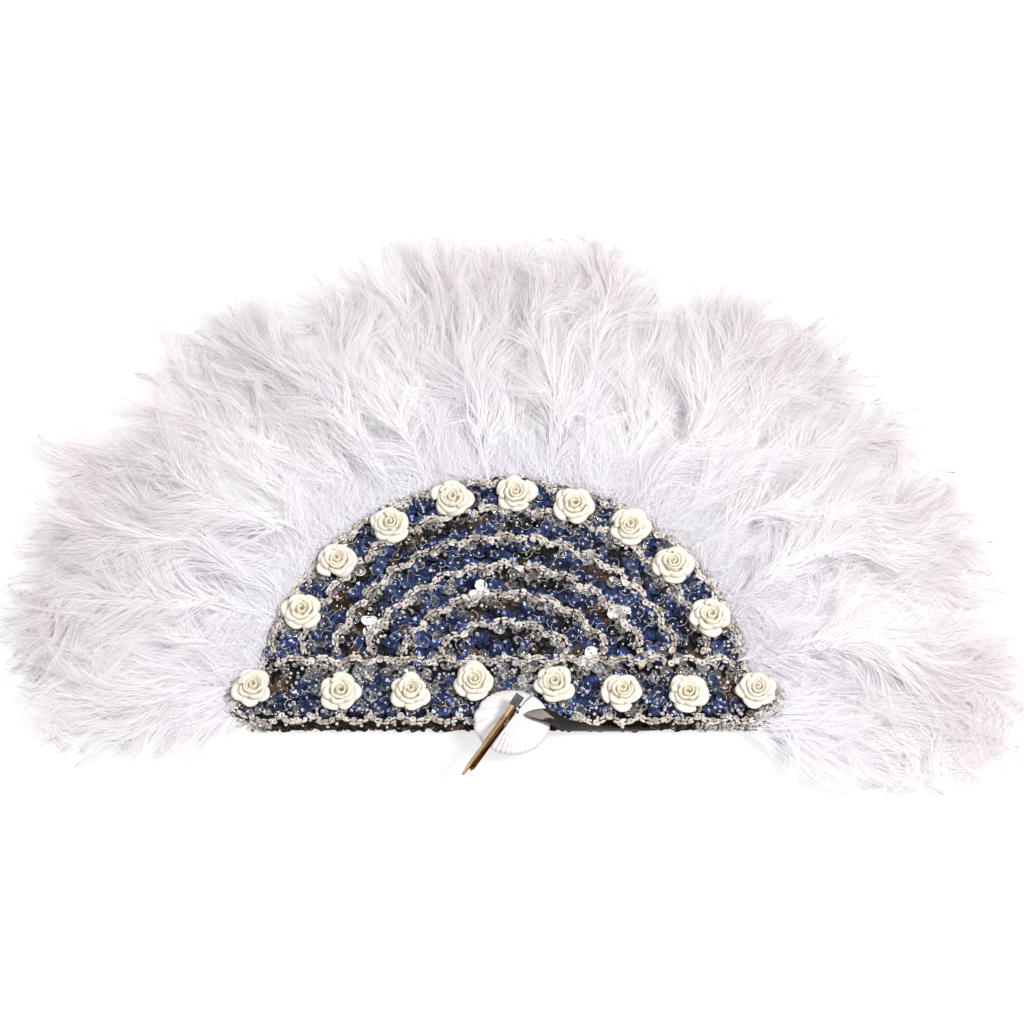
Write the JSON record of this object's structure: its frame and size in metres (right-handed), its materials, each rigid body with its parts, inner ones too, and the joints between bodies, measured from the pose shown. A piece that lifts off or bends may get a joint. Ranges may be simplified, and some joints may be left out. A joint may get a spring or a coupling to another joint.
{
  "type": "feather hand fan",
  "caption": "Half-round hand fan with white marabou plumes round a sequinned, bead-scalloped panel, cream roses along its rim and base, and a shell with a sprung clip at the lower edge.",
  "frame": {"origin": "centre of the panel's arched rim, on the flat back face the fan lies on", "axes": "+X to the fan's right seen from the front, +Y from the straight lower edge towards the plume tips, +Z out of the decorated face"},
  "size_m": [0.4204, 0.2471, 0.0273],
  "materials": {
    "plume": "downy white marabou",
    "sequins": "cupped navy and dark sequins on net",
    "lining": "dark brown cloth",
    "board": "matt stiff board",
    "tape": "cotton tape",
    "beads": "clear silver-lined beads",
    "rose": "cream resin",
    "shell": "satin white shell",
    "gold": "polished gold tone",
    "ribbon": "dark satin"
  },
  "bodies": {
    "fan": {"back_board": "board", "back_cover": "lining", "bead_base_edge": "beads", "bead_base_row": "beads", "bead_border": "beads", "bead_row_1": "beads", "bead_row_2": "beads", "bead_row_3": "beads", "bead_row_4": "beads", "bead_row_5": "beads", "clip_base": "gold", "clip_pin": "gold", "clip_spring": "gold", "feather_tape": "tape", "front_board": "board", "plume_back_01": "plume", "plume_back_02": "plume", "plume_back_03": "plume", "plume_back_04": "plume", "plume_back_05": "plume", "plume_back_06": "plume", "plume_back_07": "plume", "plume_back_08": "plume", "plume_back_09": "plume", "plume_back_10": "plume", "plume_back_11": "plume", "plume_back_12": "plume", "plume_front_01": "plume", "plume_front_02": "plume", "plume_front_03": "plume", "plume_front_04": "plume", "plume_front_05": "plume", "plume_front_06": "plume", "plume_front_07": "plume", "plume_front_08": "plume", "plume_front_09": "plume", "plume_front_10": "plume", "plume_front_11": "plume", "ribbon_tab": "ribbon", "rose_base_1": "rose", "rose_base_2": "rose", "rose_base_3": "rose", "rose_base_4": "rose", "rose_base_5": "rose", "rose_base_6": "rose", "rose_corner_left": "rose", "rose_corner_right": "rose", "rose_rim_1": "rose", "rose_rim_2": "rose", "rose_rim_3": "rose", "rose_rim_4": "rose", "rose_rim_5": "rose", "rose_rim_6": "rose", "rose_rim_7": "rose", "rose_rim_8": "rose", "rose_rim_9": "rose", "sequin_cover": "sequins", "shell_left": "shell", "shell_right": "shell"},
    "clip_lever": {"clip_lever": "gold"}
  },
  "joints": [
    {"name": "clip_hinge", "type": "hinge", "parent": "fan", "child": "clip_lever", "pos_m": [-0.00036, -0.01365, 0.02175], "axis": [-0.809, 0.5878, 0], "range_deg": [0, 28], "stiffness_Nm_per_rad": 0.004, "springref_deg": -11.46, "deforming": ["clip_spring"]}
  ]
}
